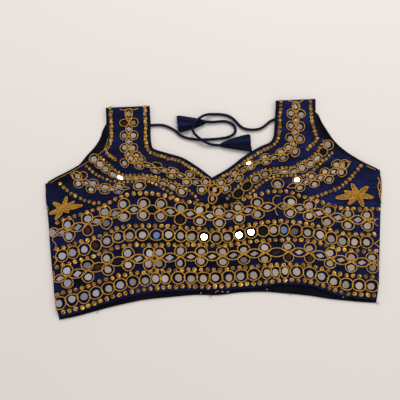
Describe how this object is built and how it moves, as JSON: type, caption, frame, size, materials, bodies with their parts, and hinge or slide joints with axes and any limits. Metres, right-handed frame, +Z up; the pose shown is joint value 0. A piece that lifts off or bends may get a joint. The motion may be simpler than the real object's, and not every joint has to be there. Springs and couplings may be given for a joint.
{
  "type": "sleeveless blouse",
  "caption": "Sleeveless cropped blouse with a sweetheart neck, laid flat front up, its front covered with mirror embroidery with neck cords that end in flared tassels.",
  "frame": {"origin": "centre of the laid blouse's outline, on the surface it lies on", "axes": "+X across the blouse, to the right as seen from above; +Y from the hem to the shoulders; +Z up out of its front"},
  "size_m": [0.436, 0.272, 0.0106],
  "materials": {
    "navy_silk": "silk with a soft sheen",
    "black_lining": "matt lining",
    "black_piping": "satin piping",
    "navy_cord": "satin cord",
    "navy_tassel": "silk with a soft sheen"
  },
  "bodies": {
    "root": {"front_panel": "navy_silk", "back_panel": "black_lining", "neck_piping": "black_piping", "armhole_piping_left": "black_piping", "armhole_piping_right": "black_piping", "dori_left": "navy_cord", "dori_right": "navy_cord", "tassel_left": "navy_tassel", "tassel_right": "navy_tassel"}
  },
  "joints": []
}
